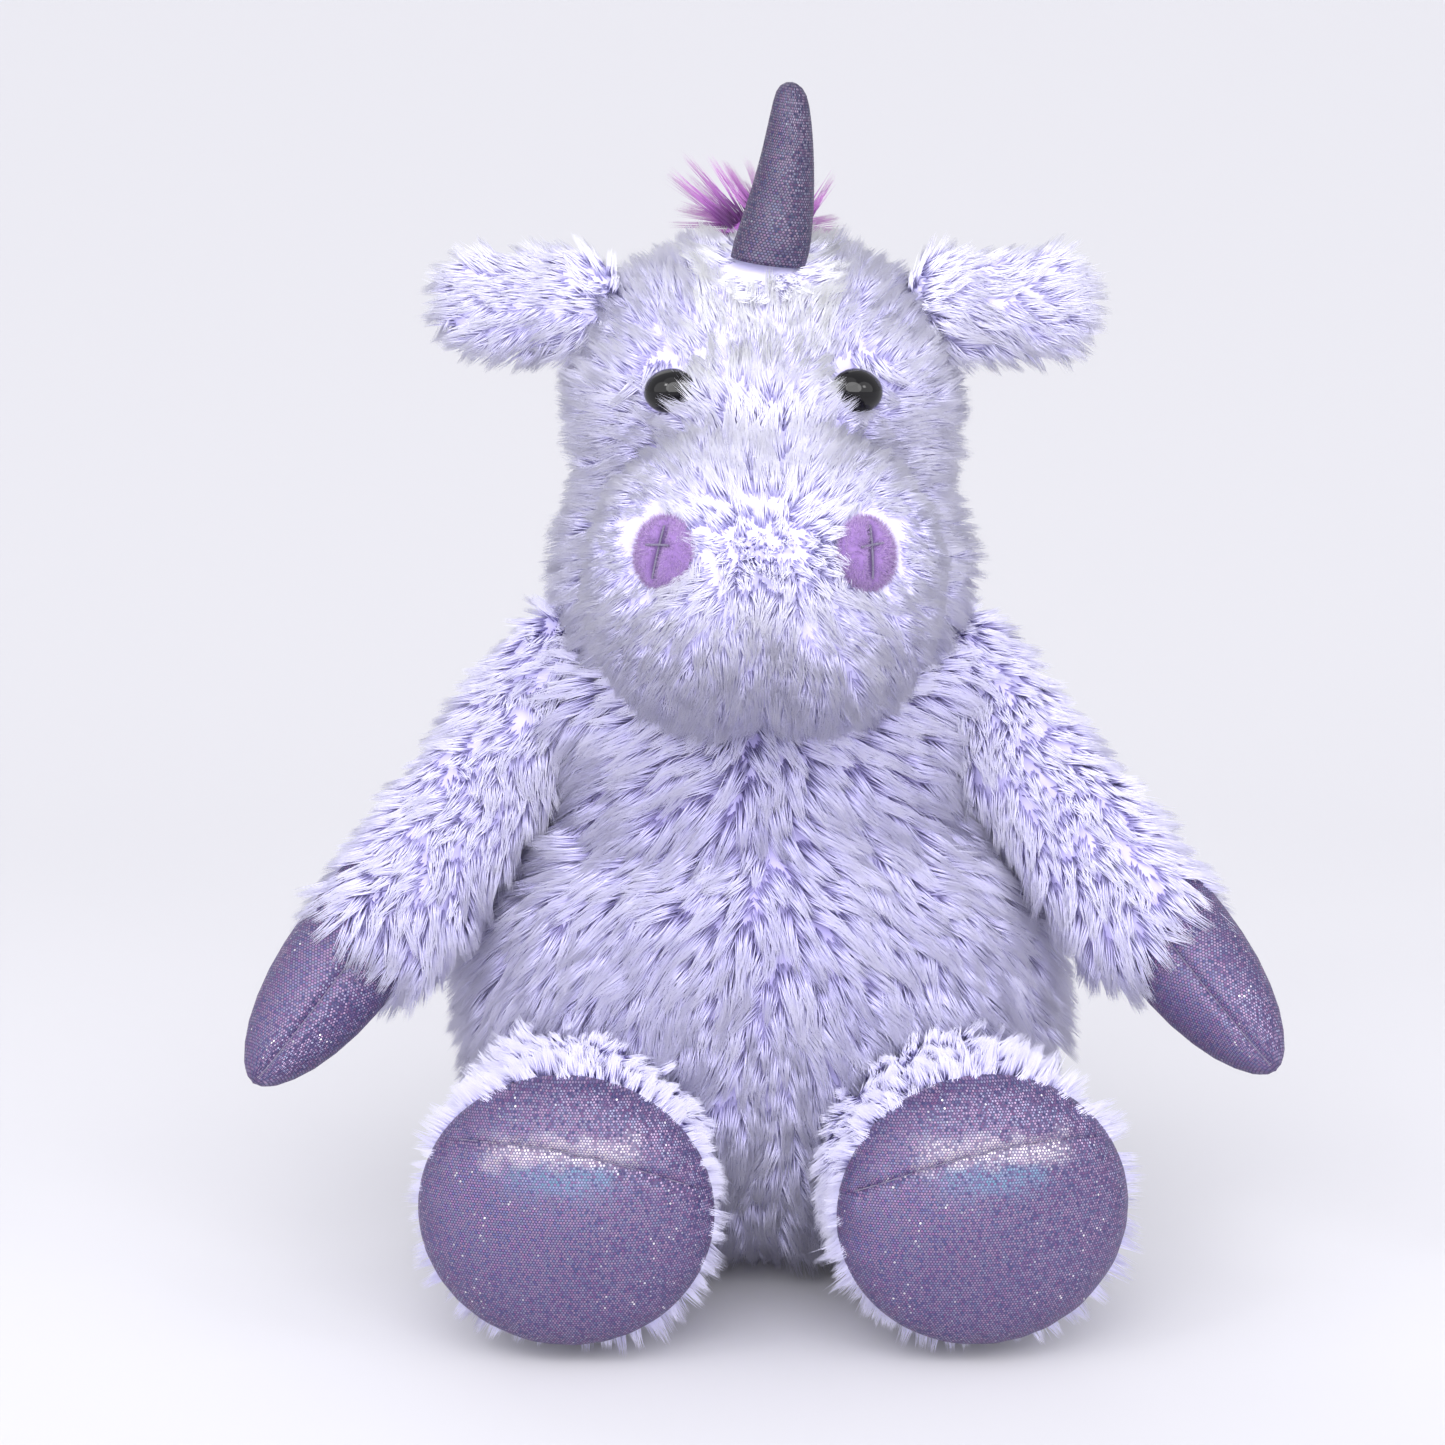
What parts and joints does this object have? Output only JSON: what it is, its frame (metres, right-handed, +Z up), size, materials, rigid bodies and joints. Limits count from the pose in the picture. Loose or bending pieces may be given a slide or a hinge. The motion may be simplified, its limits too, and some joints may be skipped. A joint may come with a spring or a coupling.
{
  "type": "plush unicorn",
  "caption": "Seated plush unicorn of long lilac fur with a padded horn, side ears, soft arms and legs with shiny hooves, and a head that turns and nods.",
  "frame": {"origin": "on the floor, at the middle of the flat seat panel", "axes": "+Z up, the face looks along -Y, +X towards the viewer's right"},
  "size_m": [0.2346, 0.1747, 0.2744],
  "materials": {
    "long_pile_fur": "long pile plush, brushed, dark lilac at the roots",
    "blaze_fur": "long pile plush, almost white",
    "mane_fur": "long magenta pile",
    "nostril_plush": "short pile minky",
    "shiny_knit": "foil dotted knit with a holographic sheen",
    "horn_knit": "foil dotted knit with a holographic sheen",
    "eye_plastic": "polished black",
    "washer_plastic": "natural moulded",
    "thread": "sewing thread",
    "fibre_filling": "white fibre filling",
    "pouch_cloth": "plain cotton bag of pellets"
  },
  "bodies": {
    "body": {"body_back_left": "long_pile_fur", "body_back_right": "long_pile_fur", "body_base": "long_pile_fur", "body_front_left": "long_pile_fur", "body_front_right": "long_pile_fur", "body_stuffing": "fibre_filling", "pellet_pouch": "pouch_cloth"},
    "neck": {"neck_stuffing": "fibre_filling"},
    "head": {"blaze": "blaze_fur", "chin": "long_pile_fur", "eye_left": "eye_plastic", "eye_right": "eye_plastic", "eye_washer_left": "washer_plastic", "eye_washer_right": "washer_plastic", "forelock": "mane_fur", "head_back": "long_pile_fur", "head_side_left": "long_pile_fur", "head_side_right": "long_pile_fur", "head_stuffing": "fibre_filling", "mane": "mane_fur", "muzzle": "long_pile_fur", "muzzle_stuffing": "fibre_filling", "nostril_left": "nostril_plush", "nostril_right": "nostril_plush", "nostril_stitch_left": "thread", "nostril_stitch_right": "thread"},
    "arm_left": {"arm_hoof_left_inner": "shiny_knit", "arm_hoof_left_outer": "shiny_knit", "arm_left_back": "long_pile_fur", "arm_left_front": "long_pile_fur", "arm_stuffing_left": "fibre_filling"},
    "arm_right": {"arm_hoof_right_inner": "shiny_knit", "arm_hoof_right_outer": "shiny_knit", "arm_right_back": "long_pile_fur", "arm_right_front": "long_pile_fur", "arm_stuffing_right": "fibre_filling"},
    "ear_left": {"ear_left_back": "long_pile_fur", "ear_left_front": "long_pile_fur"},
    "ear_right": {"ear_right_back": "long_pile_fur", "ear_right_front": "long_pile_fur"},
    "horn": {"horn_cover": "horn_knit", "horn_stuffing": "fibre_filling"},
    "leg_left": {"leg_hoof_cap_left": "shiny_knit", "leg_left_under": "long_pile_fur", "leg_left_upper": "long_pile_fur", "leg_sole_left": "shiny_knit", "leg_stuffing_left": "fibre_filling"},
    "leg_right": {"leg_hoof_cap_right": "shiny_knit", "leg_right_under": "long_pile_fur", "leg_right_upper": "long_pile_fur", "leg_sole_right": "shiny_knit", "leg_stuffing_right": "fibre_filling"},
    "tail": {"tail": "mane_fur"}
  },
  "joints": [
    {"name": "head_turn", "type": "hinge", "parent": "body", "child": "neck", "pos_m": [0, 0.002, 0.14], "axis": [0, 0, 1], "range_deg": [-25, 25]},
    {"name": "head_nod", "type": "hinge", "parent": "neck", "child": "head", "pos_m": [0, 0.002, 0.14], "axis": [1, 0, 0], "range_deg": [-12, 8]},
    {"name": "arm_left_swing", "type": "hinge", "parent": "body", "child": "arm_left", "pos_m": [-0.046, 0.003, 0.134], "axis": [1, 0, 0], "range_deg": [-70, 25]},
    {"name": "arm_right_swing", "type": "hinge", "parent": "body", "child": "arm_right", "pos_m": [0.046, 0.003, 0.134], "axis": [1, 0, 0], "range_deg": [-70, 25]},
    {"name": "leg_left_swing", "type": "hinge", "parent": "body", "child": "leg_left", "pos_m": [-0.04, -0.036, 0.035], "axis": [0.9976, -0.0698, 0], "range_deg": [-12, 25]},
    {"name": "leg_right_swing", "type": "hinge", "parent": "body", "child": "leg_right", "pos_m": [0.04, -0.036, 0.035], "axis": [0.9848, 0.1736, 0], "range_deg": [-12, 25]},
    {"name": "ear_left_flap", "type": "hinge", "parent": "head", "child": "ear_left", "pos_m": [-0.04, 0.002, 0.225], "axis": [0.5878, 0, 0.809], "range_deg": [-25, 25]},
    {"name": "ear_right_flap", "type": "hinge", "parent": "head", "child": "ear_right", "pos_m": [0.04, 0.002, 0.225], "axis": [-0.5878, 0, 0.809], "range_deg": [-25, 25]},
    {"name": "horn_tilt", "type": "hinge", "parent": "head", "child": "horn", "pos_m": [0.002, -0.012, 0.239], "axis": [0, 1, 0], "range_deg": [-15, 12]},
    {"name": "tail_lift", "type": "hinge", "parent": "body", "child": "tail", "pos_m": [0, 0.072, 0.05], "axis": [1, 0, 0], "range_deg": [0, 50]}
  ]
}
